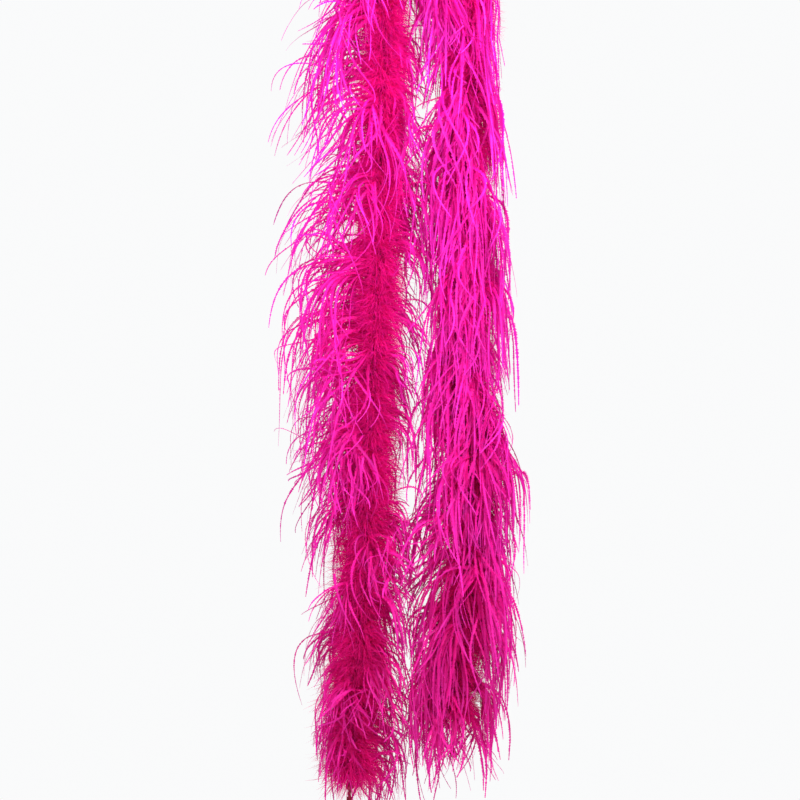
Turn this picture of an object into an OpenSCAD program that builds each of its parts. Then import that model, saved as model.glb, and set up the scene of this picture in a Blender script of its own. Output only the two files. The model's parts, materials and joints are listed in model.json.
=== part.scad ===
// Feather boa, folded once over a rail so that two tails of unequal length hang side by side.
// Origin: centre of the rail under the fold. +Z is up, +X goes from the left tail to the right
// tail, and +Y goes from the front to the back, along the rail. Millimetres.
//
// A twisted core cord runs from whipped end to whipped end. Ostrich plumes are tied to it with
// binding thread, one below another, and marabou down surrounds it inside their locks of flues.
// The cord bends at six places, three bodies to a tail, and one body lies over the rail.

/* [Core cord] */
// Diameter of the twisted core cord
cord_d = 4; // [3:0.5:4]
// Diameter of the binding thread
thread_d = 0.6; // [0.4:0.1:0.6]
// Width of the shaved quill strip that ties a plume to the cord
quill_w = 1.8; // [1.2:0.2:1.8]

/* [Fold] */
// Radius that the core cord makes over the rail
fold_r = 44; // [42:1:46]
// Radius of the rail, peg or neck that the fold rests on
rail_r = 30; // [24:1:30]
// Width of the fold's down along the rail
fold_w = 48; // [40:2:52]
// Height that the fold's plumes stand above the core cord
fold_plume_h = 46; // [36:2:50]

/* [Marabou down] */
// Diameter of the down round the core cord
down_d = 44; // [36:2:44]

/* [Ostrich plumes] */
// Distance from one plume's tie to the next on the same body
plume_pitch = 64; // [56:1:64]
// Depth over which a plume's locks arch from the tie to their full reach
plume_arch = 76; // [68:2:76]
// Depth of a plume from its tie to its tips
plume_drop = 125; // [100:1:125]
// Thickness of a lock of flues
lock_t = 8; // [6:1:10]

/* [Ends] */
// Diameter of the whipped end of the core cord
whip_d = 5.2; // [5:0.1:6]
// Length of the whipping
whip_l = 14; // [10:1:16]
// Diameter of the stopper knot above the whipping
knot_d = 11; // [9:1:13]

/* [Hidden] */
$fn = 96;
gap = 0.3;             // left between a dome of the cord and the cord that turns under it
cut = 0.4;             // left between the down and the plumes that pass through it
tie_d = 28;            // depth of a body's first tie below its pivot, so that the body can bend
down_top = 26;         // depth of the top of a body's down below its pivot
pivot_clear = 4;       // what a body's down keeps clear above the next pivot
fold_step = 22.5;      // degrees between the fold's thread rings
fold_plume_a = 70;     // how far the fold's plumes reach round its down, degrees from the top
cord_r = cord_d / 2;
down_r = down_d / 2;
thread_r = thread_d / 2;
quill_in = cord_r + 0.1;
quill_out = quill_in + 0.7;
tie_r = quill_out + 0.5;      // centre of a thread ring
bore_r = tie_r + 1.5;         // bore that the down leaves round the tied cord
ring_r = cord_r + 0.5;        // inside and outside of the ring at a plume's tie
ring_out = bore_r - cut;
arc_n = 9;                    // steps along a lock's arch
root_h = 4;                   // height and width of a lock's root in the down
root_w = 1.2;
root_in = 1;                  // depth of a lock's top where its root comes out of the down
inner_drop = 0.7;             // share of a lock's depth along its inner edge
tip_in = 6;                   // how far a lock's tip draws in
web_t = 1.2;                  // thickness of the web that holds a plume on the fold
turn_up = 8;                  // height of the two thread turns above a tie
turn_apart = 6;
quill_l = 24;                 // length of a quill strip, which starts a little below its tie
quill_below = 4;
down_slope = 6;               // bevel at the top of a body's down
end_bare = 26;                // length above the whipping that carries the knot and no down
knot_up = 14;                 // height of the knot's middle above the whipping

// Pivots of each tail, from the fold down to the cord's end: round places on the hanging cord
left_route = [[-fold_r, 0, 0], [-50, 0, -270], [-62, 0, -540], [-82, 0, -872]];
right_route = [[fold_r, 0, 0], [41, 0, -270], [46, 0, -540], [26, 0, -808]];

// Each tail body: name, pivot, next pivot, number of plumes, reach of its locks to the front and
// back, how much further they reach to the left than that, and depth of its hem. The tails' plumes
// fall away from each other. A hem stays above the next pivot, and the lowest hang past the down.
TAILS = [
    ["left_upper", left_route[0], left_route[1], 3, 66, 28, 262],
    ["left_middle", left_route[1], left_route[2], 3, 70, 31, 262],
    ["left_lower", left_route[2], left_route[3], 4, 58, 6, 300],
    ["right_upper", right_route[0], right_route[1], 3, 46, -5, 262],
    ["right_middle", right_route[1], right_route[2], 3, 47, -5, 262],
    ["right_lower", right_route[2], right_route[3], 3, 46, -4, 300],
];

function body_l(t) = norm(t[2] - t[1]);
// Turn about Y that points -Z from a body's pivot to the next one
function body_turn(t) = atan2(t[1].x - t[2].x, t[1].z - t[2].z);
function tie_depth(k) = tie_d + k * plume_pitch;
// Depth of a plume below its tie: its flues' length, or as far as its body's hem
function drop(t, k) = min(plume_drop, t[6] - tie_depth(k));
// Ways that a plume's three locks hang, which alternate so that plumes pass between each other
function lock_angles(k) = [for (i = [0 : 2]) (k + 1) % 2 * 180 + i * 120];
// Reach of a lock from the cord, further on the outer side of its tail
function reach(t, angle) = t[4] - t[5] * cos(angle);
// Outline of a lock beside the down: arching over from its root, hanging, and drawn in at the tip
function lock_outline(far, deep) = let (near = down_r + cut) concat(
    [[near, -deep * inner_drop], [near, -root_in]],
    [for (i = [1 : arc_n]) let (
        a = 90 * i / arc_n,
        p = [ring_r + (far - ring_r) * sin(a), -plume_arch * (1 - cos(a))]
    ) if (p.x > near + 1 && p.y > -deep + 1) p],
    [[far - tip_in, -deep]]
);
function reversed(list) = [for (i = [len(list) - 1 : -1 : 0]) list[i]];
// Arc of a ring in the plane, centred at a distance from the axis that it will be turned about
function band(centre, r, half_angle, steps) =
    [for (i = [-steps : steps]) let (a = half_angle * i / steps)
        [centre + r * cos(a), r * sin(a)]];

// ---- places ----
// Puts children at a body's upper pivot, with -Z along its cord
module at_body(t) {
    translate(t[1]) rotate([0, body_turn(t), 0]) children();
}

// Puts children at each of a plume's locks, with +X along the way that the lock hangs
module at_locks(k) {
    translate([0, 0, -tie_depth(k)])
        for (angle = lock_angles(k)) rotate([0, 0, angle]) children();
}

// Turns a section in the XY plane through part of the fold: 0 degrees is the right tail's side
module round_fold(from, to) {
    rotate([90, 0, 0]) rotate([0, 0, from]) rotate_extrude(angle = to - from) children();
}

// ---- tail parts ----
// Core cord of one body: it starts just under the dome of the cord above and ends in its own
module tail_cord(t, last) {
    top = cord_r + gap;
    length = body_l(t) - top;
    at_body(t) color([0.62, 0.04, 0.2]) {
        translate([0, 0, -body_l(t)]) cylinder(r = cord_r, h = length);
        if (!last) translate([0, 0, -body_l(t)]) sphere(r = cord_r);
    }
}

// Two turns of thread at every tie
module tail_thread(t) {
    at_body(t) color([0.5, 0.02, 0.15])
        for (k = [0 : t[3] - 1]) for (turn = [0, 1])
            translate([0, 0, turn_up + turn * turn_apart - tie_depth(k)])
                rotate_extrude() translate([tie_r, 0]) circle(r = thread_r, $fn = 24);
}

// One plume: a shaved quill strip along the cord, a ring at its tie, and three flat locks of flues
// whose roots pass through the down
module plume(t, k) {
    at_body(t) color([0.93, 0.1, 0.66]) {
        translate([0, 0, -tie_depth(k)]) {
            translate([quill_in, -quill_w / 2, -quill_below])
                cube([quill_out - quill_in, quill_w, quill_l]);
            translate([0, 0, -root_h])
                difference() {
                    cylinder(r = ring_out, h = root_h);
                    translate([0, 0, -1]) cylinder(r = ring_r, h = root_h + 2);
                }
            for (angle = lock_angles(k))
                rotate([0, 0, angle]) {
                    translate([ring_r + 1, -root_w / 2, -root_h])
                        cube([down_r + 2 - ring_r, root_w, root_h]);
                    rotate([90, 0, 0])
                        linear_extrude(height = lock_t, center = true)
                            polygon(lock_outline(reach(t, angle), drop(t, k)));
                }
        }
    }
}

// Down of one body: a sleeve with a sloping top and a window for the root of every lock
module tail_down(t, bottom) {
    bevel_z = down_top + down_slope;
    at_body(t) color([0.82, 0.03, 0.42])
        difference() {
            union() {
                translate([0, 0, -bottom]) cylinder(r = down_r, h = bottom - bevel_z);
                translate([0, 0, -bevel_z])
                    cylinder(r1 = down_r, r2 = down_r - down_slope, h = down_slope);
            }
            translate([0, 0, -bottom - 1]) cylinder(r = bore_r, h = bottom + 1);
            for (k = [0 : t[3] - 1])
                at_locks(k)
                    translate([0, -root_w / 2 - cut, -root_h - cut])
                        cube([down_r + 1, root_w + 2 * cut, root_h + 2 * cut]);
        }
}

// ---- fold ----
// Core cord over the rail, with a dome at each pivot
module fold_cord() {
    color([0.62, 0.04, 0.2]) {
        round_fold(0, 180) translate([fold_r, 0]) circle(r = cord_r);
        for (side = [-1, 1]) translate([side * fold_r, 0, 0]) sphere(r = cord_r);
    }
}

module fold_thread() {
    color([0.5, 0.02, 0.15])
        for (i = [1 : 7])
            rotate([0, -i * fold_step, 0]) translate([fold_r, 0, 0])
                rotate_extrude() translate([cord_r + thread_r + 0.1, 0]) circle(r = thread_r, $fn = 24);
}

// Down of the fold, pressed flat against the rail on its inner side
module fold_down() {
    half = fold_w / 2;
    color([0.82, 0.03, 0.42])
        difference() {
            round_fold(0, 180)
                polygon(concat(
                    [[rail_r, -half]],
                    [for (a = [-90 : 15 : 90]) [fold_r + down_r * cos(a), half * sin(a)]],
                    [[rail_r, half]]
                ));
            round_fold(-1, 181) translate([fold_r, 0]) circle(r = bore_r);
            round_fold(-1, 181)
                translate([fold_r, -web_t / 2 - cut]) square([down_r + 2, web_t + 2 * cut]);
        }
}

// Plume that stands on the fold: a thin web from the cord, and flues that fill the space over
// the down and arch over both its sides
module fold_plume(from, to) {
    fill_r = fold_w / 2 + cut + gap;
    web_in = tie_r + thread_r + gap;
    color([0.93, 0.1, 0.66]) {
        round_fold(from, to)
            polygon(concat(
                band(fold_r, fold_plume_h, fold_plume_a, 7), reversed(band(fold_r, fill_r, fold_plume_a, 7))
            ));
        round_fold(from, to) translate([fold_r + web_in, -web_t / 2])
            square([fill_r + 1 - web_in, web_t]);
    }
}

// ---- ends ----
// Stopper knot above the whipping
module end_knot(t) {
    middle = body_l(t) - whip_l - knot_up;
    thick = (knot_d - cord_d) / 2 - 0.1;
    at_body(t) color([0.6, 0.03, 0.18]) translate([0, 0, -middle])
        rotate_extrude() translate([cord_r + 0.1 + thick / 2, 0]) circle(r = thick / 2, $fn = 48);
}

// Whipping: thread wound tightly round the last of the cord
module end_whipping(t) {
    at_body(t) color([0.45, 0.01, 0.1]) translate([0, 0, -body_l(t) + 2])
        difference() {
            cylinder(d = whip_d, h = whip_l);
            translate([0, 0, -1]) cylinder(r = cord_r + 0.05, h = whip_l + 2);
        }
}

fold_cord();
fold_thread();
fold_down();
fold_plume(92, 178);  // fold_plume_left
fold_plume(2, 88);  // fold_plume_right
for (i = [0 : len(TAILS) - 1]) {
    t = TAILS[i];
    last = i % 3 == 2;
    down_end = last ? body_l(t) - whip_l - end_bare : body_l(t) - pivot_clear;
    tail_cord(t, last);
    tail_thread(t);
    tail_down(t, down_end);
    for (k = [1 : t[3]])
        plume(t, k - 1);
}
end_knot(TAILS[2]);  // left_end_knot
end_whipping(TAILS[2]);  // left_end_whipping
end_knot(TAILS[5]);  // right_end_knot
end_whipping(TAILS[5]);  // right_end_whipping
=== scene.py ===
import json
import math
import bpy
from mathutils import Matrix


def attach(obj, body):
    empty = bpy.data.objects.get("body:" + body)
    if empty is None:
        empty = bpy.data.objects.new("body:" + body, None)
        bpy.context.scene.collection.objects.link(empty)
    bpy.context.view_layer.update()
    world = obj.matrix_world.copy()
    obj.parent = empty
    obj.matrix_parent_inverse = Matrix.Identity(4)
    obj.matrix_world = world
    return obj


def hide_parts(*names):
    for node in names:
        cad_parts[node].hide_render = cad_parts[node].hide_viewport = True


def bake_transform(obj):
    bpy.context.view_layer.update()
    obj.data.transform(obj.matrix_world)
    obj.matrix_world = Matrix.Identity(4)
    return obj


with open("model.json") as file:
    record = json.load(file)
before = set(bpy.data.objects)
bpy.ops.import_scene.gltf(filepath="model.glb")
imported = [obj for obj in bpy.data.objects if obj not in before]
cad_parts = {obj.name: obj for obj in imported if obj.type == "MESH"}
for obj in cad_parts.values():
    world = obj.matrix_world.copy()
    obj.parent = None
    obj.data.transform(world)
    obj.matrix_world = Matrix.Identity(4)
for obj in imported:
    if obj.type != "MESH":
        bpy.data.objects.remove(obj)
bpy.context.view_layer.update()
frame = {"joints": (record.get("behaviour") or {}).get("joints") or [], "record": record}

import zlib

import bpy
import numpy as np
from mathutils import Vector

# ---------------------------------------------------------------------------
# Sizes in metres, and places worked out from the frame
# ---------------------------------------------------------------------------
MM = 0.001
TAILS = {
    "left": ["left_upper", "left_middle", "left_lower"],
    "right": ["right_upper", "right_middle", "right_lower"],
}
SIGN = {"left": -1.0, "right": 1.0}
PIVOT = {j["child"]: np.array(j["pos_m"], float) for j in frame["joints"]}
MOUNT = {m["name"]: m for m in frame["record"]["mounts"]}
FOLD_R = PIVOT["right_upper"][0]
CORD_D = 4.0 * MM
THREAD_D = 0.6 * MM
WHIP_L = MOUNT["left_cord_end"]["dims"]["length_mm"] * MM
WHIP_R = MOUNT["left_cord_end"]["dims"]["r_mm"] * MM
CORD_TIP = 2 * MM          # bare cord past the whipping
BEND = 60 * MM             # the cord bends this far above and below a pivot
FOLD_POINTS = 60           # points on a quarter turn of the core line, over the fold
REACH_POINTS = 80          # points on the core line from one pivot to the next
UP = np.array([0.0, 0.0, 1.0])
BACK = np.array([0.0, 1.0, 0.0])


def seeded(name):
    """A random source that gives the same numbers for the same name."""
    return np.random.default_rng(zlib.crc32(name.encode()))


def unit(v):
    """Vectors of length 1."""
    return v / np.maximum(np.linalg.norm(v, axis=-1, keepdims=True), 1e-12)


def smooth(t):
    """Rises gently from 0 to 1 as t does."""
    t = np.clip(t, 0, 1)
    return t * t * (3 - 2 * t)


# ---------------------------------------------------------------------------
# The line of the core cord
# ---------------------------------------------------------------------------
def cord_end(side):
    """Bare tip of the cord, just past its whipping."""
    mount = MOUNT[side + "_cord_end"]
    reach = WHIP_L / 2 + CORD_TIP
    return np.array(mount["pos_m"], float) + np.array(mount["axis"], float) * reach


class CoreLine:
    """Centre of the core cord on one side, from the top of the fold to the cord's end."""

    def __init__(self, side):
        quarter = np.linspace(0, math.pi / 2, FOLD_POINTS)
        out, up = SIGN[side] * FOLD_R * np.sin(quarter), FOLD_R * np.cos(quarter)
        arc = np.stack([out, 0 * quarter, up], 1)
        knots = [PIVOT[b] for b in TAILS[side]] + [cord_end(side)]
        points = [arc]
        slopes = self.slopes(knots)
        for i in range(len(knots) - 1):
            points.append(self.stretch(knots[i], knots[i + 1], slopes[i], slopes[i + 1]))
        self.points = np.concatenate(points)
        steps = np.linalg.norm(np.diff(self.points, axis=0), axis=1)
        self.s = np.concatenate([[0], np.cumsum(steps)])
        self.length = self.s[-1]
        self.pivot_s = [self.s[FOLD_POINTS - 1 + REACH_POINTS * i] for i in range(len(knots))]

    @staticmethod
    def slopes(knots):
        """Direction of the cord at each knot: down at the fold, then between its neighbours'."""
        found = [-UP]
        for i in range(1, len(knots) - 1):
            found.append(unit(unit(knots[i] - knots[i - 1]) + unit(knots[i + 1] - knots[i])))
        found.append(unit(knots[-1] - knots[-2]))
        return found

    @staticmethod
    def stretch(a, b, slope_a, slope_b):
        """Points from a, left out, to b on a smooth curve that has the given slopes at its ends."""
        t = np.linspace(0, 1, REACH_POINTS + 1)[1:, None]
        size = np.linalg.norm(b - a)
        return ((2 * t**3 - 3 * t**2 + 1) * a + (t**3 - 2 * t**2 + t) * size * slope_a
                + (3 * t**2 - 2 * t**3) * b + (t**3 - t**2) * size * slope_b)

    def at(self, s):
        """Places and directions at distances s along the cord."""
        s = np.asarray(s, float)
        place = np.stack([np.interp(s, self.s, self.points[:, i]) for i in range(3)], -1)
        ahead = np.stack([np.interp(s + MM, self.s, self.points[:, i]) for i in range(3)], -1)
        behind = np.stack([np.interp(s - MM, self.s, self.points[:, i]) for i in range(3)], -1)
        return place, unit(ahead - behind)


CORE = {side: CoreLine(side) for side in TAILS}


# ---------------------------------------------------------------------------
# Camera and light
# ---------------------------------------------------------------------------
VIEW_W = 0.836             # width of what the camera sees at the boa
VIEW_CENTRE = np.array([-0.028, 0.0, -0.441])
CAMERA_BACK = 2.6          # from the boa to the camera
ROOM_LIGHT = 0.55          # how bright the surroundings are as light on the boa
ROOM_COLOR = (0.955, 0.96, 0.965, 1)


def add_object(name, data):
    made = bpy.data.objects.new(name, data)
    bpy.context.scene.collection.objects.link(made)
    return made


def make_camera():
    """Level camera in front of the boa."""
    data = bpy.data.cameras.new("camera")
    data.sensor_width = 36.0
    data.lens = data.sensor_width * CAMERA_BACK / VIEW_W
    camera = add_object("camera", data)
    camera.location = VIEW_CENTRE - BACK * CAMERA_BACK
    camera.rotation_euler = (math.radians(90), 0, 0)
    data.clip_start, data.clip_end = 0.1, 50
    bpy.context.scene.camera = camera


def add_area_light(name, place, towards, size, watts):
    data = bpy.data.lights.new(name, "AREA")
    data.shape = "DISK"
    data.size = size
    data.energy = watts
    light = add_object(name, data)
    light.location = place
    light.rotation_euler = (Vector(towards) - Vector(place)).to_track_quat("-Z", "Y").to_euler()


def make_light():
    """Pale surroundings, dimmer as light on the boa than as its background, and two lamps."""
    world = bpy.data.worlds.new("pale_room")
    world.use_nodes = True
    tree = world.node_tree
    seen = tree.nodes["Background"]
    lighting = tree.nodes.new("ShaderNodeBackground")
    blend = tree.nodes.new("ShaderNodeMixShader")
    path = tree.nodes.new("ShaderNodeLightPath")
    for background, strength in ((seen, 1.0), (lighting, ROOM_LIGHT)):
        background.inputs["Color"].default_value = ROOM_COLOR
        background.inputs["Strength"].default_value = strength
    tree.links.new(path.outputs["Is Camera Ray"], blend.inputs[0])
    tree.links.new(lighting.outputs[0], blend.inputs[1])
    tree.links.new(seen.outputs[0], blend.inputs[2])
    tree.links.new(blend.outputs[0], tree.nodes["World Output"].inputs["Surface"])
    bpy.context.scene.world = world
    bpy.context.scene.view_settings.view_transform = "Standard"
    add_area_light("key", (0.6, -1.4, 0.8), (0, 0, -0.15), 0.7, 56)
    add_area_light("fill", (-1.4, -1.6, 0.2), (0, 0, -0.35), 1.2, 17)


make_camera()
make_light()


# ---------------------------------------------------------------------------
# Meshes from arrays
# ---------------------------------------------------------------------------
def mesh_piece(name, points, faces, material, along=None, shade=None, edge=None):
    """A smooth-shaded mesh piece, with what its material reads stored at its points."""
    mesh = bpy.data.meshes.new(name)
    sides = faces.shape[1]
    mesh.vertices.add(len(points))
    mesh.vertices.foreach_set("co", np.ascontiguousarray(points, np.float32).ravel())
    mesh.loops.add(faces.size)
    mesh.loops.foreach_set("vertex_index", np.ascontiguousarray(faces, np.int32).ravel())
    mesh.polygons.add(len(faces))
    mesh.polygons.foreach_set("loop_start", np.arange(0, faces.size, sides, dtype=np.int32))
    mesh.update(calc_edges=True)
    mesh.shade_smooth()
    for key, values in (("along", along), ("shade", shade), ("edge", edge)):
        if values is not None:
            layer = mesh.attributes.new(key, "FLOAT", "POINT")
            layer.data.foreach_set("value", np.ascontiguousarray(values, np.float32).ravel())
    mesh.materials.append(material)
    return add_object(name, mesh)


def frames_along(path):
    """Two directions across a path at each of its points, which don't spin as it turns."""
    ahead = unit(np.gradient(path, axis=0))
    first = np.cross(ahead[0], BACK if abs(ahead[0] @ BACK) < 0.9 else UP)
    across = np.empty_like(path)
    across[0] = unit(first)
    for i in range(1, len(path)):
        across[i] = unit(across[i - 1] - ahead[i] * (across[i - 1] @ ahead[i]))
    return ahead, across, np.cross(ahead, across)


def tube(path, radius, sides=8):
    """Points and four-sided faces of a closed tube along a path. radius may change along it."""
    path = np.asarray(path, float)
    radius = np.broadcast_to(np.asarray(radius, float), (len(path),))
    _, across, up = frames_along(path)
    turn = np.linspace(0, 2 * math.pi, sides, endpoint=False)
    cos, sin = np.cos(turn)[None, :, None], np.sin(turn)[None, :, None]
    ring = across[:, None] * cos + up[:, None] * sin
    points = path[:, None] + ring * radius[:, None, None]
    first = np.arange(len(path) - 1)[:, None] * sides
    here, there = np.arange(sides)[None], (np.arange(sides)[None] + 1) % sides
    faces = np.stack([first + here, first + there, first + sides + there, first + sides + here], -1)
    ends = [path[0], path[-1]]
    points = np.concatenate([points.reshape(-1, 3), ends])
    faces = faces.reshape(-1, 4)
    head, foot, last = len(points) - 2, len(points) - 1, (len(path) - 1) * sides
    caps = []
    for k in range(0, sides, 2):
        far = (k + 2) % sides
        caps.append([head, far, k + 1, k])
        caps.append([foot, last + k, last + k + 1, last + far])
    return points, np.concatenate([faces, np.array(caps)])


def joined(parts):
    """Points and faces of several parts as one, with the index of its part at each point."""
    points, faces, which, first = [], [], [], 0
    for i, (p, f) in enumerate(parts):
        points.append(p)
        faces.append(f + first)
        which.append(np.full(len(p), i))
        first += len(p)
    return np.concatenate(points), np.concatenate(faces), np.concatenate(which)


# ---------------------------------------------------------------------------
# Materials
# ---------------------------------------------------------------------------
# Dyes, from the pale tips of the flues to the roots of the down
FUCHSIA_TIP = (0.98, 0.035, 0.76, 1)
FUCHSIA = (0.92, 0.006, 0.45, 1)
ROSE = (0.90, 0.003, 0.34, 1)
MAGENTA = (0.80, 0.001, 0.22, 1)
CRIMSON = (0.54, 0.0, 0.08, 1)
SHEEN = (1.0, 0.15, 0.75, 1)
LOW_PAINTED_SHADE = (0.70, 0.62, 0.44, 1)     # painted shade: darkens and reddens the colour towards the foot of the boa, where less light falls
PAINTED_SHADE_FULL_Z = -0.95                  # height at which the painted shade is full


class Nodes:
    """Short way to place and join shader nodes in one tree."""

    def __init__(self, tree):
        self.tree = tree

    def add(self, kind, **settings):
        node = self.tree.nodes.new("ShaderNode" + kind)
        for key, value in settings.items():
            setattr(node, key, value)
        return node

    def join(self, *pairs):
        for a, b in pairs:
            self.tree.links.new(a, b)

    def maths(self, what, a, b=0.0, c=0.0):
        node = self.add("Math", operation=what)
        for socket, value in zip(node.inputs, (a, b, c)):
            self.feed(socket, value)
        return node.outputs[0]

    def mix(self, factor, a, b, how="MIX"):
        node = self.add("Mix", data_type="RGBA", blend_type=how)
        self.feed(node.inputs[0], factor)
        self.feed(node.inputs[6], a)
        self.feed(node.inputs[7], b)
        return node.outputs[2]

    def step(self, value, low, high):
        node = self.add("MapRange", interpolation_type="SMOOTHSTEP")
        self.feed(node.inputs["Value"], value)
        node.inputs["From Min"].default_value = low
        node.inputs["From Max"].default_value = high
        return node.outputs["Result"]

    def stored(self, name):
        return self.add("Attribute", attribute_name=name).outputs["Fac"]

    def feed(self, socket, value):
        if isinstance(value, bpy.types.NodeSocket):
            self.join((value, socket))
        else:
            socket.default_value = value


def new_group(name, takes, gives):
    """An empty node group with named sockets, and the ends inside it that take and give."""
    tree = bpy.data.node_groups.new(name, "ShaderNodeTree")
    for label, kind in takes:
        tree.interface.new_socket(label, in_out="INPUT", socket_type="NodeSocket" + kind)
    for label, kind in gives:
        tree.interface.new_socket(label, in_out="OUTPUT", socket_type="NodeSocket" + kind)
    inner, outer = tree.nodes.new("NodeGroupInput"), tree.nodes.new("NodeGroupOutput")
    return Nodes(tree), inner.outputs, outer.inputs


def make_dye_and_painted_shade_barb():
    """Dye along a flue or a down fibre: deep at the root, paler to the tip, and painted shade that
    darkens it further down the boa.
    """
    n, takes, gives = new_group(
        "dye_and_painted_shade_barb",
        [("Root", "Color"), ("Middle", "Color"), ("Tip", "Color"), ("Edge Pale", "Float"),
         ("Uneven", "Float"), ("Patch Scale", "Float"), ("Low Rough", "Float")],
        [("Color", "Color"), ("Roughness", "Float")],
    )
    along = n.stored("along")
    body = n.mix(n.step(along, 0.0, 0.42), takes["Root"], takes["Middle"])
    body = n.mix(n.step(along, 0.35, 1.0), body, takes["Tip"])
    body = n.mix(n.maths("MULTIPLY", n.stored("edge"), takes["Edge Pale"]), body, takes["Tip"])
    place = n.add("TexCoord").outputs["Object"]
    patch = n.add("TexNoise")
    n.join((place, patch.inputs["Vector"]), (takes["Patch Scale"], patch.inputs["Scale"]))
    patch.inputs["Detail"].default_value = 3
    swing = n.maths("ADD", n.stored("shade"), n.maths("SUBTRACT", patch.outputs["Fac"], 0.5))
    value = n.maths("MULTIPLY_ADD", n.maths("SUBTRACT", swing, 0.5), takes["Uneven"], 1.0)
    tone = n.add("HueSaturation")
    # painted shade: the colour is multiplied darker and redder lower down, as if less light reached the
    # foot of the boa
    height = n.add("SeparateXYZ")
    low = n.step(height.outputs["Z"], PAINTED_SHADE_FULL_Z, 0.0)
    n.join((place, height.inputs[0]), (body, tone.inputs["Color"]), (value, tone.inputs["Value"]))
    deep = n.mix(low, LOW_PAINTED_SHADE, (1, 1, 1, 1))
    n.join((n.mix(1.0, tone.outputs[0], deep, "MULTIPLY"), gives["Color"]))
    n.join((n.maths("MULTIPLY_ADD", patch.outputs["Fac"], 0.3, takes["Low Rough"]), gives["Roughness"]))
    return n.tree


def make_spun_fibre():
    """Fine fibres of a spun cord or thread, in their own varied tone, with painted shade in the grooves
    of the bump and a slight fuzz.
    """
    n, takes, gives = new_group(
        "spun_fibre",
        [("Light", "Color"), ("Dark", "Color"), ("Fibre Scale", "Float")],
        [("Color", "Color"), ("Roughness", "Float"), ("Height", "Float")],
    )
    place = n.add("TexCoord").outputs["Object"]
    fibre, fuzz = n.add("TexNoise"), n.add("TexNoise")
    stretch = n.add("Mapping")
    stretch.inputs["Scale"].default_value = (1, 1, 0.35)
    stretch.inputs["Rotation"].default_value = (0.5, 0.4, 0)
    n.join((place, stretch.inputs["Vector"]), (stretch.outputs[0], fibre.inputs["Vector"]))
    n.join((place, fuzz.inputs["Vector"]), (takes["Fibre Scale"], fibre.inputs["Scale"]))
    fibre.inputs["Detail"].default_value = 4
    fuzz.inputs["Scale"].default_value = 90
    grain = n.step(fibre.outputs["Fac"], 0.35, 0.65)
    # painted shade: the colour goes to Dark where the bump height is low, in its grooves, over the
    # fibres' own tone
    color = n.mix(grain, takes["Dark"], takes["Light"])
    color = n.mix(n.step(fuzz.outputs["Fac"], 0.5, 0.8), color, takes["Dark"])
    n.join((color, gives["Color"]), (grain, gives["Height"]))
    n.join((n.maths("MULTIPLY_ADD", grain, 0.2, 0.6), gives["Roughness"]))
    return n.tree


def new_material(name):
    """An empty material, with a surface shader and an output that aren't joined yet."""
    material = bpy.data.materials.new(name)
    material.use_nodes = True
    n = Nodes(material.node_tree)
    n.tree.nodes.clear()
    return material, n, n.add("BsdfPrincipled"), n.add("OutputMaterial")


def place_group(n, tree, **values):
    """A node group in a material, with the material's own values."""
    node = n.add("Group", node_tree=tree)
    for label, value in values.items():
        node.inputs[label.replace("_", " ")].default_value = value
    return node


def barb_material(name, glow, glow_share, sheen, **dye):
    """Dyed barb that lets some light through, as a flue or down does."""
    material, n, surface, out = new_material(name)
    barb = place_group(n, DYE_AND_PAINTED_SHADE_BARB, **dye)
    n.join((barb.outputs["Color"], surface.inputs["Base Color"]))
    n.join((barb.outputs["Roughness"], surface.inputs["Roughness"]))
    surface.inputs["Sheen Weight"].default_value = sheen
    surface.inputs["Sheen Roughness"].default_value = 0.4
    surface.inputs["Sheen Tint"].default_value = SHEEN
    surface.inputs["Specular IOR Level"].default_value = 0.16
    through, blend = n.add("BsdfTranslucent"), n.add("MixShader")
    through.inputs["Color"].default_value = glow
    blend.inputs[0].default_value = glow_share
    n.join((surface.outputs[0], blend.inputs[1]), (through.outputs[0], blend.inputs[2]))
    n.join((blend.outputs[0], out.inputs["Surface"]))
    return material


def spun_material(name, light, dark, scale, depth):
    """Spun cotton or waxed thread with a fine raised fibre."""
    material, n, surface, out = new_material(name)
    spun = place_group(n, SPUN_FIBRE, Light=light, Dark=dark, Fibre_Scale=scale)
    bump = n.add("Bump")
    bump.inputs["Strength"].default_value = 0.6
    bump.inputs["Distance"].default_value = depth
    n.join((spun.outputs["Color"], surface.inputs["Base Color"]))
    n.join((spun.outputs["Roughness"], surface.inputs["Roughness"]))
    n.join((spun.outputs["Height"], bump.inputs["Height"]), (bump.outputs[0], surface.inputs["Normal"]))
    n.join((surface.outputs[0], out.inputs["Surface"]))
    return material


DYE_AND_PAINTED_SHADE_BARB = make_dye_and_painted_shade_barb()
SPUN_FIBRE = make_spun_fibre()
FLUE = barb_material(
    "ostrich_flue", (0.97, 0.01, 0.48, 1), 0.38, 0.15, Root=MAGENTA, Middle=FUCHSIA, Tip=FUCHSIA_TIP,
    Edge_Pale=0.45, Uneven=0.5, Patch_Scale=14.0, Low_Rough=0.42)
DOWN = barb_material(
    "marabou_down", (0.92, 0.005, 0.33, 1), 0.42, 0.25, Root=CRIMSON, Middle=ROSE, Tip=FUCHSIA,
    Edge_Pale=0.2, Uneven=0.45, Patch_Scale=30.0, Low_Rough=0.6)
QUILL = barb_material(
    "shaved_quill", (0.5, 0.0, 0.06, 1), 0.1, 0.0, Root=CRIMSON, Middle=(0.36, 0.0, 0.05, 1),
    Tip=MAGENTA, Edge_Pale=0.3, Uneven=0.4, Patch_Scale=60.0, Low_Rough=0.35)
FRAYED = barb_material(
    "frayed_cotton", (0.5, 0.0, 0.05, 1), 0.15, 0.1, Root=(0.36, 0.0, 0.04, 1), Middle=CRIMSON,
    Tip=CRIMSON, Edge_Pale=0.0, Uneven=0.4, Patch_Scale=60.0, Low_Rough=0.7)
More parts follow.
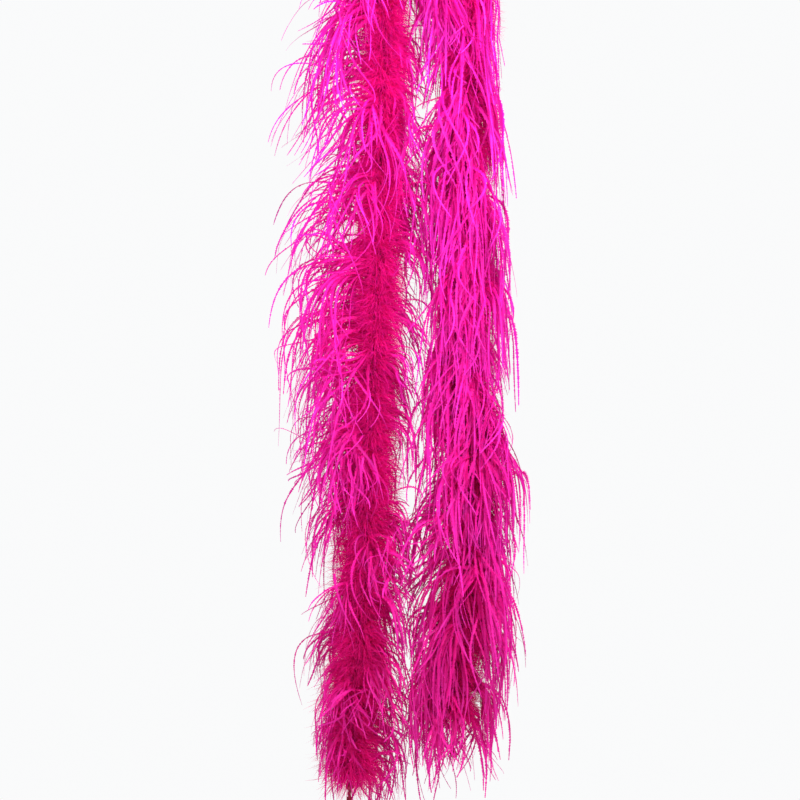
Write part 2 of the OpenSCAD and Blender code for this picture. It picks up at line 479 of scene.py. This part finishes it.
CORD = spun_material("twisted_cotton", (0.42, 0.004, 0.05, 1), (0.14, 0.0, 0.015, 1), 900.0, 0.0002)
THREAD = spun_material("binding_thread", (0.36, 0.0, 0.05, 1), (0.12, 0.0, 0.012, 1), 1600.0, 0.0001)
WAXED = spun_material("waxed_thread", (0.30, 0.0, 0.02, 1), (0.09, 0.0, 0.006, 1), 1400.0, 0.0001)


# ---------------------------------------------------------------------------
# How the pieces ride
# ---------------------------------------------------------------------------
CAD_NODES = [part["node"] for part in frame["record"]["subparts"]]


def bodies_of(side):
    return ["fold"] + TAILS[side]


def plumes_of(body):
    return [node for node in CAD_NODES if node.startswith(body + "_plume_")]


def bends(piece, side, joint):
    """Bakes a piece's transform into its mesh, at a joint. The stretch where the cord bends is found,
    but the piece is not put on the bodies and doesn't bend.
    """
    middle = CORE[side].pivot_s[joint]
    start, end = CORE[side].at([middle - BEND, middle + BEND])[0]
    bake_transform(piece)


def stretches(side):
    """Three stretches of a side's cord. Each has one pivot in it and ends halfway to the next."""
    pivots = CORE[side].pivot_s
    cuts = [0] + [(a + b) / 2 for a, b in zip(pivots, pivots[1:-1])] + [CORE[side].length]
    return list(zip(range(3), cuts, cuts[1:]))


def stretch_done(piece, side, joint, kind):
    """Finishes a piece that stands for the same kind of node on both bodies of its stretch."""
    bends(piece, side, joint)
    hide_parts(*[f"{body}_{kind}" for body in bodies_of(side)[joint:joint + 2]])


# ---------------------------------------------------------------------------
# Core cord, binding thread, quills and the bound ends
# ---------------------------------------------------------------------------
PLIES = 3
PLY_R = 0.46 * CORD_D / 2
PLY_OUT = 0.54 * CORD_D / 2
CORD_PITCH = 15 * MM
POINTS_PER_TWIST = 12
FOLD_TIES = 4              # ties from the top of the fold to its pivot on each side
TIE_DOWN = 28 * MM         # first tie of a body below its pivot
TIE_PITCH = 64 * MM        # from one tie to the next
TIE_RAISE = 8 * MM         # the close turns lie this far above the tie
CLOSE_TURNS = 4 * MM       # half the length of a tie's close turns
LOOSENING = 3 * MM         # length over which they open out
OPEN_PITCH = 12 * MM
CLOSE_PITCH = 0.75 * MM
THREAD_OUT = 2.35 * MM     # from the middle of the cord to the middle of the thread
TIE_OUT = 0.6 * MM         # how much further out it lies at a tie, over the quills
THREAD_STEP = 0.2 * MM
QUILLS_PER_TIE = 4
QUILL_POINTS = 14
LAST_QUILL = 90 * MM       # no quill is tied nearer than this to the cord's end
KNOT_UP = 28 * MM          # middle of the stopper knot above the cord's end
KNOT_CORD_R = 1.5 * MM     # the cord is drawn thinner in the knot
WHIP_PITCH = 0.66 * MM
WHIP_THREAD_R = 0.36 * MM
BARE_END = 38 * MM         # length at the cord's end that carries no down
ROOT_OUT = 2.2 * MM        # where flues and fibres start, at the face of the cord


def wound(core, s, turns, offset):
    """Path that winds round the core line."""
    place, ahead = core.at(s)
    across = unit(np.cross(ahead, BACK))
    angle = 2 * math.pi * np.asarray(turns)[:, None]
    return place + (across * np.cos(angle) + BACK * np.sin(angle)) * np.reshape(offset, (-1, 1))


def make_cord(side):
    """Three-ply twisted cord in three stretches that meet end to end."""
    core = CORE[side]
    for joint, first, last in stretches(side):
        s = np.linspace(first, last, int((last - first) / CORD_PITCH * POINTS_PER_TWIST))
        starts = [k / PLIES for k in range(PLIES)]
        plies = [tube(wound(core, s, s / CORD_PITCH + start, PLY_OUT), PLY_R) for start in starts]
        points, faces, _ = joined(plies)
        name = f"{side}_core_cord_{joint + 1}"
        piece = mesh_piece(name, points, faces, CORD)
        path = core.at(np.linspace(first, last, 40))[0]
        stretch_done(piece, side, joint, "cord")


def tie_places(side):
    """Distance along the cord of every tie on a side."""
    core = CORE[side]
    ties = list(np.arange(0.5, FOLD_TIES) * core.pivot_s[0] / FOLD_TIES)
    for body, pivot in zip(TAILS[side], core.pivot_s):
        ties += [pivot + TIE_DOWN + TIE_PITCH * k - TIE_RAISE for k in range(len(plumes_of(body)))]
    return ties


def make_thread(side):
    """Binding thread: open turns along the cord and close turns at every tie."""
    core = CORE[side]
    s = np.arange(0, core.length - BARE_END, THREAD_STEP)
    near = np.min(np.abs(s[:, None] - np.array(tie_places(side))), axis=1)
    close = 1 - smooth((near - CLOSE_TURNS) / LOOSENING)
    turns = np.cumsum(THREAD_STEP * (1 / OPEN_PITCH + close / CLOSE_PITCH))
    even = np.arange(0, turns[-1], 0.1)
    at = np.interp(even, turns, s)
    out = np.interp(even, turns, THREAD_OUT + close * TIE_OUT)
    path = wound(core, at, even, out)
    for joint, first, last in stretches(side):
        inside = (at >= first) & (at <= last)
        points, faces = tube(path[inside], THREAD_D / 2, 6)
        piece = mesh_piece(f"{side}_binding_thread_{joint + 1}", points, faces, THREAD)
        stretch_done(piece, side, joint, "thread")


def quill_strip(core, rng, tie):
    """One shaved quill bound along the cord, whose cut end stands off through the down."""
    length = rng.uniform(34, 56) * MM
    s = tie + np.linspace(-6 * MM, length, QUILL_POINTS)
    t = np.linspace(0, 1, QUILL_POINTS)
    off = 2.6 * MM + smooth((t - 0.55) / 0.45) * rng.uniform(6, 26) * MM
    turn = rng.uniform(0, 1) + 0.08 * t
    path = wound(core, s, turn, off)
    return tube(path, np.interp(t, [0, 0.85, 1], [1.0, 0.9, 0.55]) * MM, 6)


def make_quills(side):
    """Quills of the plumes, some at each tie but the last ones."""
    core = CORE[side]
    ties = [tie for tie in tie_places(side) if tie < core.length - LAST_QUILL]
    for joint, first, last in stretches(side):
        rng = seeded(f"{side}_quills_{joint}")
        tied = [tie for tie in ties if first <= tie < last for _ in range(QUILLS_PER_TIE)]
        strips = [quill_strip(core, rng, tie) for tie in tied]
        points, faces, which = joined(strips)
        shade = rng.random(len(strips))[which]
        name = f"{side}_quills_{joint + 1}"
        stored = {"along": 0.5 * shade, "shade": shade, "edge": 0 * shade}
        piece = mesh_piece(name, points, faces, QUILL, **stored)
        bends(piece, side, joint)


def make_knot(side):
    """Overhand stopper knot, drawn tight round the cord."""
    core = CORE[side]
    place, ahead = core.at(core.length - KNOT_UP)
    across = unit(np.cross(ahead, BACK))
    a = np.linspace(0, 4 * math.pi, 121)[:-1, None]
    out = (3.0 + 1.0 * np.cos(1.5 * a)) * MM
    along = np.sin(1.5 * a) * 2.2 * MM
    path = place + (across * np.cos(a) + BACK * np.sin(a)) * out + ahead * along
    path = np.concatenate([path, path[:1]])
    points, faces = tube(path, KNOT_CORD_R, 10)
    piece = mesh_piece(f"{side}_stopper_knot", points, faces, CORD)
    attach(piece, TAILS[side][-1])
    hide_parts(f"{side}_end_knot")


def make_whipping(side):
    """Waxed thread wound tightly round the cord's end."""
    core = CORE[side]
    top = core.length - CORD_TIP - WHIP_L
    turns = np.arange(0, WHIP_L / WHIP_PITCH, 1 / 16)
    path = wound(core, top + turns * WHIP_PITCH, turns, WHIP_R - WHIP_PITCH / 2)
    points, faces = tube(path, WHIP_THREAD_R, 6)
    piece = mesh_piece(f"{side}_whipping", points, faces, WAXED)
    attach(piece, TAILS[side][-1])
    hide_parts(f"{side}_end_whipping")


for side in TAILS:
    make_cord(side)
    make_thread(side)
    make_quills(side)
    make_knot(side)
    make_whipping(side)


# ---------------------------------------------------------------------------
# Fibres: paths for many of them at once
# ---------------------------------------------------------------------------
def fibre_paths(core, s, azimuth, length, arc, curl, steps):
    """Paths (fibre, step, xyz) that leave the core at an angle above level, arch over and hang.

    azimuth: way round the core, 0 to the right and -90 degrees to the front. arc: angle above
    level at the root and at the tip, and the share of the length over which it arches.
    curl: a turn round the core from root to tip, and waves across the path in both directions.
    """
    rise, fall, bend = [a[:, None] for a in arc]
    turn, wave, rate, start = [c[:, None] for c in curl]
    t = np.linspace(0, 1, steps + 1)[None]
    tilt = rise + (fall - rise) * smooth(t / bend)
    round_by = azimuth[:, None] + turn * t**1.5
    flat = np.stack([np.cos(round_by), np.sin(round_by), 0 * round_by], -1)
    across = np.stack([-np.sin(round_by), np.cos(round_by), 0 * round_by], -1)
    ahead = flat * np.cos(tilt)[..., None] + UP * np.sin(tilt)[..., None]
    over = UP * np.cos(tilt)[..., None] - flat * np.sin(tilt)[..., None]
    grow = wave * np.minimum(1, 2.5 * t)
    sway = grow * np.sin(2 * math.pi * (rate * t + start))
    lift = grow * np.cos(2 * math.pi * (0.8 * rate * t + 1.7 * start))
    step = unit(ahead + across * sway[..., None] + over * lift[..., None])
    step = step * (length / steps)[:, None, None]
    root = core.at(s)[0] + flat[:, 0] * ROOT_OUT
    so_far = np.concatenate([0 * step[:, :1], np.cumsum(step[:, :-1], axis=1)], axis=1)
    return root[:, None] + so_far


SWEEP_LOCKS = 15           # locks in each set of three sweeps


def grouped(rng, n, size):
    """Index of the lock that each of n fibres belongs to."""
    return np.sort(rng.integers(0, max(1, n // size), n))


def sweep_of(lock):
    """Index of the sweep that each lock lies in: three sweeps side by side along the cord."""
    return lock // SWEEP_LOCKS * 3 + lock % 3


def shared(rng, lock, low, high, own=0.0):
    """A value that the fibres of a lock share, and a small difference of each one's own."""
    return rng.uniform(low, high, lock.max() + 1)[lock] + rng.normal(0, own, len(lock))


def make_curls(rng, lock, turn, wave, own=0.3):
    """Turn, wave, waves to a length and where the wave starts, mostly alike within a lock."""
    return (
        shared(rng, lock, -turn, turn, own * turn),
        shared(rng, lock, 0.2 * wave, wave, own * wave),
        shared(rng, lock, 0.35, 1.0, 0.08),
        shared(rng, lock, 0, 1, 0.05),
    )


def across_fibres(paths, rng):
    """Directions along and across each fibre at each step, rolled at random and turning slowly."""
    ahead = unit(np.gradient(paths, axis=1))
    first = unit(np.cross(ahead, BACK + 0.3 * UP))
    other = np.cross(ahead, first)
    n, steps = paths.shape[:2]
    roll = rng.uniform(0, 2 * math.pi, (n, 1))
    roll = roll + np.linspace(0, 1, steps)[None] * rng.normal(0, 1.2, (n, 1))
    cos, sin = np.cos(roll)[..., None], np.sin(roll)[..., None]
    return ahead, first * cos + other * sin, other * cos - first * sin


# How far the flues stand off the core, outwards and inwards, at heights from below the cords' ends
OUTLINE_Z = [-0.90, -0.80, -0.70, -0.60, -0.49, -0.39, -0.28, -0.18, -0.07, 0.02]
OUTWARD = {
    "left": [0.024, 0.034, 0.070, 0.070, 0.094, 0.132, 0.170, 0.125, 0.114, 0.100],
    "right": [0.036, 0.048, 0.055, 0.050, 0.049, 0.050, 0.046, 0.038, 0.020, 0.026],
}
INWARD = {
    "left": [0.060, 0.098, 0.086, 0.060, 0.062, 0.066, 0.068, 0.064, 0.056, 0.060],
    "right": [0.014, 0.040, 0.074, 0.084, 0.080, 0.070, 0.064, 0.062, 0.064, 0.060],
}
LOWEST = -0.86             # tips that hang lower than this are eased up into the room below it
LOWEST_ROOM = 0.04
SNUG = 0.85                # share of their room that the tidiest flues take
STRAY = 0.8                # how much more of it the loosest ones take
WIDE = [(-0.14, 0.036), (0.085, 0.026)]     # past each place across, flues have only this room


def stand_off(side, z, outer):
    """Room at heights, from inwards where outer is 0 to outwards where it is 1."""
    out, inner = np.interp(z, OUTLINE_Z, OUTWARD[side]), np.interp(z, OUTLINE_Z, INWARD[side])
    return inner + (out - inner) * outer


def eased(distance, room):
    """A distance that levels off at the room there is."""
    return room * np.tanh(distance / room)


def keep_within(side, rng, paths, front, back):
    """Eases points in towards the core, so that the boa hangs as flat and narrow as it should."""
    points, sign = CORE[side].points, SIGN[side]
    z = paths[..., 2]
    centre = np.interp(z, points[::-1, 2], points[::-1, 0])
    off = (paths[..., 0] - centre) * sign
    loose = SNUG + STRAY * rng.random((len(paths), 1)) ** 2
    x = centre + sign * eased(off, loose * stand_off(side, z, off > 0))
    for edge, room in WIDE:
        past = (x - edge) * np.sign(edge) > 0
        x = np.where(past, edge + eased(x - edge, room), x)
    paths[..., 0] = x
    y = paths[..., 1]
    paths[..., 1] = eased(y, np.where(y < 0, front, back))
    paths[..., 2] = np.where(z < LOWEST, LOWEST + eased(z - LOWEST, LOWEST_ROOM), z)


# ---------------------------------------------------------------------------
# Ostrich plumes
# ---------------------------------------------------------------------------
FLUE_STEPS = 70
DEG = math.radians(1)
MID_Z = -0.42              # below this the left tail's down is longer, and the right tail fans out
RIGHT_SHORT_Z = [-0.80, -0.70]
RIGHT_SHORT = [0.8, 1.0]   # flues at the right cord's end are shorter


def flue_mesh(paths, rng, width):
    """Flues: a spine with a pair of barbules at every step, set in a V and leaning to the tip."""
    n = len(paths)
    steps = paths.shape[1] - 1
    ahead, across, above = [v[:, :-1] for v in across_fibres(paths, rng)]
    t = np.linspace(0, 1, steps + 1)[None, :-1]
    reach = width[:, None] * (0.45 + 0.55 * smooth(t * 5)) * (1 - 0.75 * t**2.5)
    reach = (reach * rng.uniform(0.65, 1.2, (n, steps)))[..., None]
    lean = rng.uniform(1.2, 2.1, (n, steps, 1))
    tip = paths[:, :-1] + ahead * reach * lean + above * 0.55 * reach
    points = np.concatenate([paths, tip + across * reach, tip - across * reach], axis=1)
    each = points.shape[1]
    i = np.arange(steps)
    ahead_of = np.minimum(i + 2, steps)
    left = np.stack([i, ahead_of, steps + 1 + i], -1)
    right = np.stack([ahead_of, i, 2 * steps + 1 + i], -1)
    one = np.concatenate([left, right])
    faces = (one[None] + (np.arange(n) * each)[:, None, None]).reshape(-1, 3)
    spine_t = np.linspace(0, 1, steps + 1)
    along = np.tile(np.concatenate([spine_t, spine_t[1:], spine_t[1:]]), n)
    edge = np.tile(np.concatenate([0 * spine_t, np.ones(2 * steps)]), n)
    shade = np.repeat(rng.random(n), each)
    return points.reshape(-1, 3), faces, along, shade, edge


def pick_azimuths(rng, lock, outward, bias, front, own):
    """Ways round the core, more of them outward, and fewer or more to the front."""
    count = lock.max() + 1
    a = rng.uniform(-math.pi, math.pi, count * 12)
    share = 1 + bias * np.cos(a - outward) + front * np.clip(np.cos(a + math.pi / 2), 0, 1) ** 2
    kept = a[rng.random(len(a)) < share / (1 + abs(bias) + abs(front))]
    return kept[:count][lock] + rng.normal(0, own, len(lock))


def stray_lengths(rng, n):
    """One flue in twelve is a third longer than the others."""
    return np.where(rng.random(n) < 1 / 12, 4 / 3, 1)


def left_flues(rng, core, s):
    """Loose flues that stand out from the down, arch over and hang apart."""
    n = len(s)
    z = core.at(s)[0][:, 2]
    lock = grouped(rng, n, 4)
    sweep = sweep_of(lock)
    azimuth = pick_azimuths(rng, sweep, math.pi, 0.3, -0.95, 8 * DEG)
    azimuth += shared(rng, lock, -22, 22) * DEG
    outer = 0.5 - 0.5 * np.cos(azimuth)
    rise = (shared(rng, sweep, -32, 22) + shared(rng, lock, -10, 10, 6) + 18 * outer) * DEG
    fall = (shared(rng, sweep, -88, -50) + shared(rng, lock, -6, 6, 5)) * DEG
    bend = shared(rng, sweep, 0.4, 0.95, 0.05)
    length = shared(rng, lock, 95, 150, 8) * MM * shared(rng, sweep, 0.72, 1.2)
    length *= np.clip(stand_off("left", z, outer) / 0.1, 0.62, 1.25) * stray_lengths(rng, n)
    curl = make_curls(rng, lock, 0.9, 0.9, 0.45)
    paths = fibre_paths(core, s, azimuth, length, (rise, fall, bend), curl, FLUE_STEPS)
    keep_within("left", rng, paths, 75 * MM, 62 * MM)
    return paths


def right_flues(rng, core, s):
    """Combed flues that leave the core downwards and lie over one another as a curtain."""
    n = len(s)
    z = core.at(s)[0][:, 2]
    lock = grouped(rng, n, 5)
    sweep = sweep_of(lock)
    azimuth = pick_azimuths(rng, sweep, 0.0, -0.1, 0.3, 6 * DEG) + shared(rng, lock, -20, 20) * DEG
    fan = smooth((MID_Z - z) / 0.1)
    rise = (shared(rng, sweep, -42, 8) + shared(rng, lock, -9, 9, 5) + 12 * fan) * DEG
    fall = (shared(rng, lock, -93, -76, 3) + shared(rng, sweep, 0, 28) * fan) * DEG
    bend = shared(rng, lock, 0.35, 0.7, 0.04)
    length = shared(rng, lock, 96, 156, 8) * MM * shared(rng, sweep, 0.85, 1.12)
    length *= np.interp(z, RIGHT_SHORT_Z, RIGHT_SHORT) * stray_lengths(rng, n)
    curl = make_curls(rng, lock, 0.6, 0.75, 0.4)
    paths = fibre_paths(core, s, azimuth, length, (rise, fall, bend), curl, FLUE_STEPS)
    keep_within("right", rng, paths, 62 * MM, 56 * MM)
    return paths


FLUES = {"left": left_flues, "right": right_flues}
FLUES_PER_M = {"left": 2800, "right": 3000}
BARBULES = {"left": (1.0, 2.4), "right": (1.3, 2.6)}    # shortest and longest, in mm


def make_plume(side, node, first, last, joint):
    """Flues of one plume, whose roots lie along the cord from first to last."""
    rng = seeded(node)
    n = int((last - first) * FLUES_PER_M[side])
    s = np.sort(rng.uniform(first, last, n))
    paths = FLUES[side](rng, CORE[side], s)
    width = rng.uniform(*BARBULES[side], n) * MM
    points, faces, along, shade, edge = flue_mesh(paths, rng, width)
    name = node.replace("_plume_", "_flues_")
    piece = mesh_piece(name, points, faces, FLUE, along=along, shade=shade, edge=edge)
    if joint is None:
        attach(piece, node.split("_plume_")[0])
    else:
        bends(piece, side, joint)
    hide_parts(node)


def joint_of_plume(index, k):
    """The joint that a plume hangs over: the one above for a body's first plume, or the next, if any."""
    if k == 0:
        return index
    return index + 1 if index < 2 else None


def make_plumes(side):
    """Plumes of a side, from the fold down to the bound end."""
    core = CORE[side]
    make_plume(side, f"fold_plume_{side}", 0, core.pivot_s[0], 0)
    ends = core.pivot_s[:-1] + [core.length - BARE_END]
    for index, body in enumerate(TAILS[side]):
        nodes = plumes_of(body)
        cuts = np.linspace(ends[index], ends[index + 1], len(nodes) + 1)
        for k, node in enumerate(nodes):
            make_plume(side, node, cuts[k], cuts[k + 1], joint_of_plume(index, k))


# ---------------------------------------------------------------------------
# Marabou down
# ---------------------------------------------------------------------------
DOWN_PER_M = 66000         # fibres
TUFT = 14                  # fibres in a tuft
DOWN_STEPS = 4
DOWN_TAPER = [1, 1, 0.85, 0.6]
LONG_DOWN = 1.2            # how much longer the down is on the lower part of the left tail
FRAYED_FIBRES = 260


def down_mesh(paths, rng):
    """Fine flat fibres that taper to a point, four steps long."""
    n, steps = len(paths), paths.shape[1] - 1
    across = across_fibres(paths, rng)[1][:, :-1]
    taper = np.array(DOWN_TAPER)[None, :, None]
    half = rng.uniform(0.16, 0.36, (n, 1, 1)) * MM * taper
    spine = paths[:, :-1]
    points = np.concatenate([spine + across * half, spine - across * half, paths[:, -1:]], axis=1)
    each = points.shape[1]
    one = [[i, i + 1, steps + i + 1] for i in range(steps - 1)]
    one += [[i, steps + i + 1, steps + i] for i in range(steps - 1)]
    one += [[steps - 1, 2 * steps, 2 * steps - 1]]
    faces = (np.array(one)[None] + (np.arange(n) * each)[:, None, None]).reshape(-1, 3)
    t = np.linspace(0, 1, steps + 1)
    along = np.tile(np.concatenate([t[:-1], t[:-1], t[-1:]]), n)
    shade = np.repeat(rng.random(n), each)
    return points.reshape(-1, 3), faces, along, shade


def make_down(side):
    """Down along the core, in tufts, so that it looks soft and uneven."""
    core = CORE[side]
    for joint, first, last in stretches(side):
        last = min(last, core.length - BARE_END)
        rng = seeded(f"{side}_down_{joint}")
        lock = grouped(rng, int((last - first) * DOWN_PER_M), TUFT)
        s = np.clip(shared(rng, lock, first, last, 3 * MM), first, last)
        azimuth = shared(rng, lock, -math.pi, math.pi, 0.25)
        length = np.maximum(6, shared(rng, lock, 20, 38, 4)) * MM
        if side == "left":
            length *= np.interp(core.at(s)[0][:, 2], [MID_Z - 0.1, MID_Z], [LONG_DOWN, 1])
        rise = shared(rng, lock, -45, 45, 14) * DEG
        fall = rise - shared(rng, lock, 5, 60, 12) * DEG
        curl = make_curls(rng, lock, 0.6, 0.3, 1.0)
        arc = (rise, fall, np.ones(len(s)))
        paths = fibre_paths(core, s, azimuth, length, arc, curl, DOWN_STEPS)
        points, faces, along, shade = down_mesh(paths, rng)
        name = f"{side}_down_{joint + 1}"
        piece = mesh_piece(name, points, faces, DOWN, along=along, shade=shade, edge=0 * along)
        stretch_done(piece, side, joint, "down")


def make_frayed_tip(side):
    """Loose cotton fibres below the whipping, and a few short ones over it."""
    core = CORE[side]
    rng = seeded(side + "_frayed_tip")
    lock = grouped(rng, FRAYED_FIBRES, 12)
    s = core.length - CORD_TIP + rng.uniform(-3, 1, FRAYED_FIBRES) * MM
    azimuth = shared(rng, lock, -math.pi, math.pi, 0.2)
    fall = shared(rng, lock, -88, -60, 5) * DEG
    length = shared(rng, lock, 5, 13, 1) * MM
    curl = make_curls(rng, lock, 0.8, 0.5)
    arc = (fall, fall, np.ones(FRAYED_FIBRES))
    paths = fibre_paths(core, s, azimuth, length, arc, curl, DOWN_STEPS)
    points, faces, along, shade = down_mesh(paths, rng)
    stored = {"along": along, "shade": shade, "edge": 0 * along}
    piece = mesh_piece(side + "_frayed_tip", points, faces, FRAYED, **stored)
    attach(piece, TAILS[side][-1])


for side in TAILS:
    make_down(side)
    make_plumes(side)
    make_frayed_tip(side)


# ---------------------------------------------------------------------------
# Floor
# ---------------------------------------------------------------------------
FLOOR_R = 6
FLOOR_Z = -1.9
FLOOR_SIDES = 64
FLOOR_LIGHT = 0.38         # makes up for the dimmer surroundings, so that the floor stays pale


def make_floor():
    """Pale round floor far below the boa."""
    turn = np.linspace(0, 2 * math.pi, FLOOR_SIDES, endpoint=False)
    ring = np.stack([FLOOR_R * np.cos(turn), FLOOR_R * np.sin(turn), 0 * turn + FLOOR_Z], -1)
    points = np.concatenate([ring, [[0, 0, FLOOR_Z]]])
    around = np.arange(FLOOR_SIDES)
    middle = np.full(FLOOR_SIDES, FLOOR_SIDES)
    faces = np.stack([around, (around + 1) % FLOOR_SIDES, middle], -1)
    material, n, surface, out = new_material("pale_floor")
    grain = n.add("TexNoise")
    grain.inputs["Scale"].default_value = 3
    tone = n.mix(grain.outputs["Fac"], (0.78, 0.78, 0.79, 1), (0.84, 0.84, 0.85, 1))
    n.join((tone, surface.inputs["Base Color"]))
    surface.inputs["Roughness"].default_value = 0.8
    surface.inputs["Emission Color"].default_value = (0.95, 0.955, 0.96, 1)
    surface.inputs["Emission Strength"].default_value = FLOOR_LIGHT
    n.join((surface.outputs[0], out.inputs["Surface"]))
    mesh_piece("floor", points, faces, material)


make_floor()
